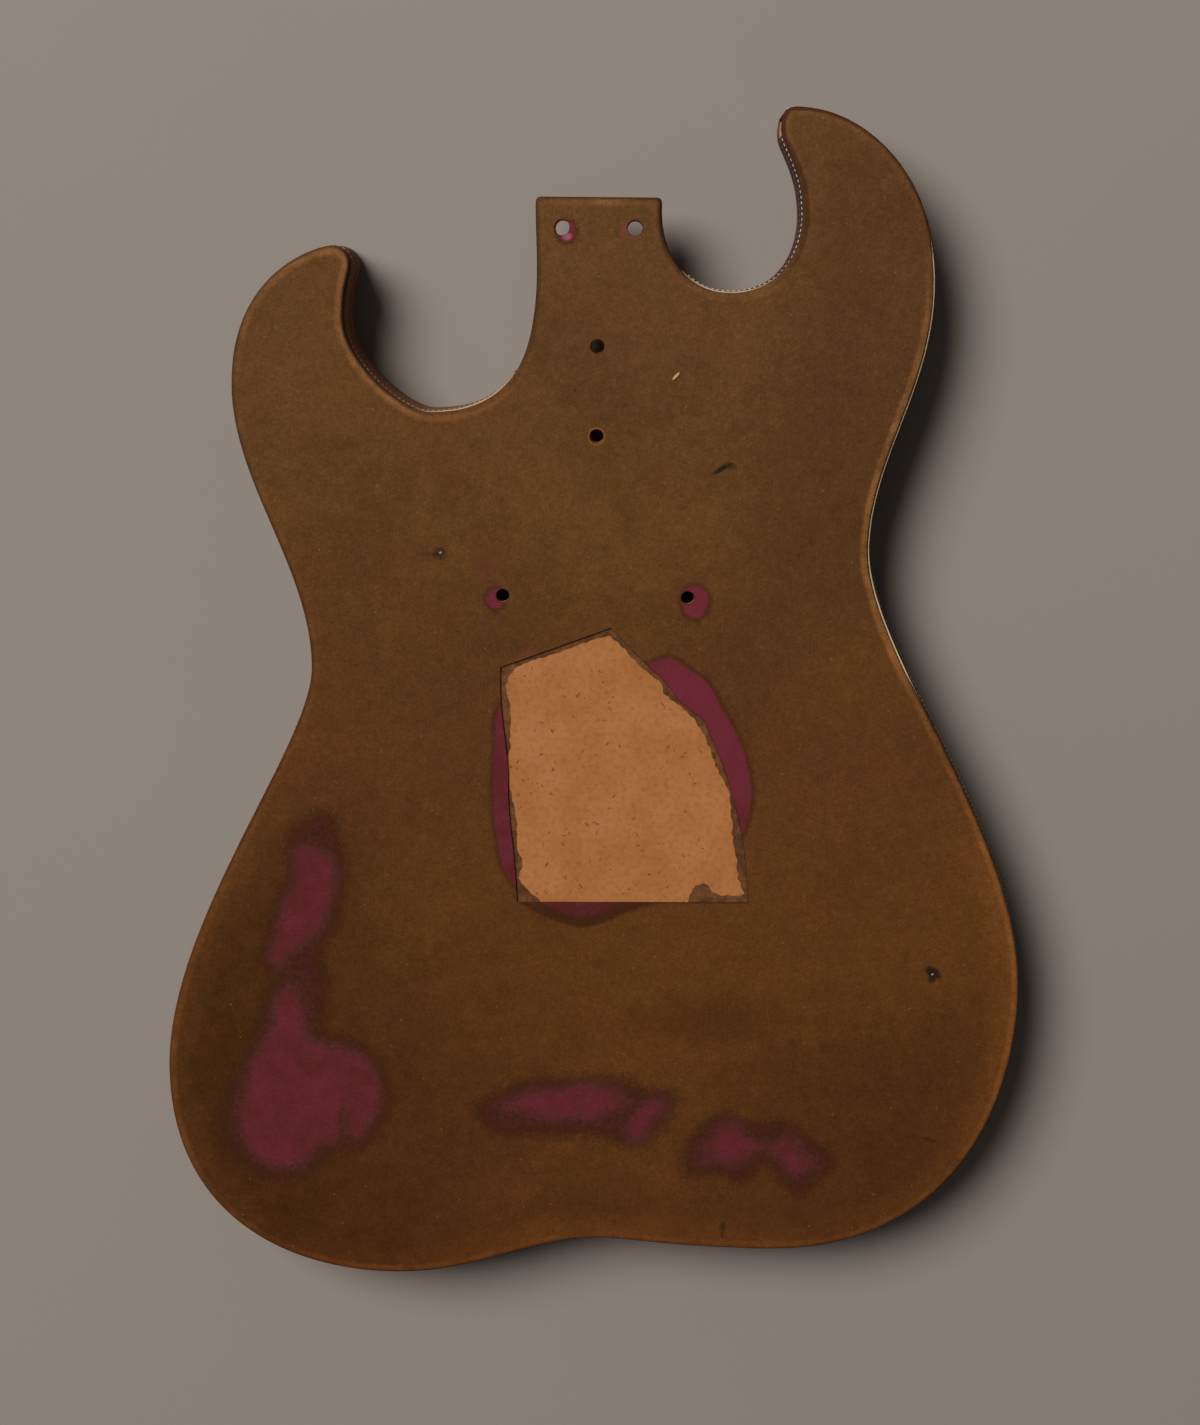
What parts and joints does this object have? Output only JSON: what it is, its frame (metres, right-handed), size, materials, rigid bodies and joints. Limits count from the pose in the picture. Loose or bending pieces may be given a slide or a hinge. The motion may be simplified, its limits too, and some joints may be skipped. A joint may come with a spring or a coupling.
{
  "type": "electric guitar body",
  "caption": "Hollow electric guitar body with two hooked cutaways, hardboard over a softwood frame, felt-covered back and open neck pocket.",
  "frame": {"origin": "middle of the bottom face of the body's box, on the front board's outer face", "axes": "+Z towards the felt-covered back, +Y towards the neck end along the middle line, +X towards the bass side"},
  "size_m": [0.352, 0.48, 0.0384],
  "materials": {
    "front_hardboard": "smooth tempered hardboard, bare",
    "back_hardboard": "bare tan hardboard with fine dark specks",
    "felt": "matt felt, faded from wine red to olive brown",
    "softwood": "sawn pale softwood",
    "woven_tape": "dark wine woven tape with pale thread rows"
  },
  "bodies": {
    "root": {"front_board": "front_hardboard", "back_board": "back_hardboard", "back_felt": "felt", "neck_block": "softwood", "bridge_block": "softwood", "bass_horn_block": "softwood", "bass_waist_rail": "softwood", "bass_bout_rail": "softwood", "bass_tail_rail": "softwood", "treble_horn_block": "softwood", "treble_waist_rail": "softwood", "treble_bout_rail": "softwood", "treble_tail_rail": "softwood", "tail_block": "softwood", "edge_tape_cutaway": "woven_tape", "edge_tape_outer": "woven_tape"}
  },
  "joints": []
}
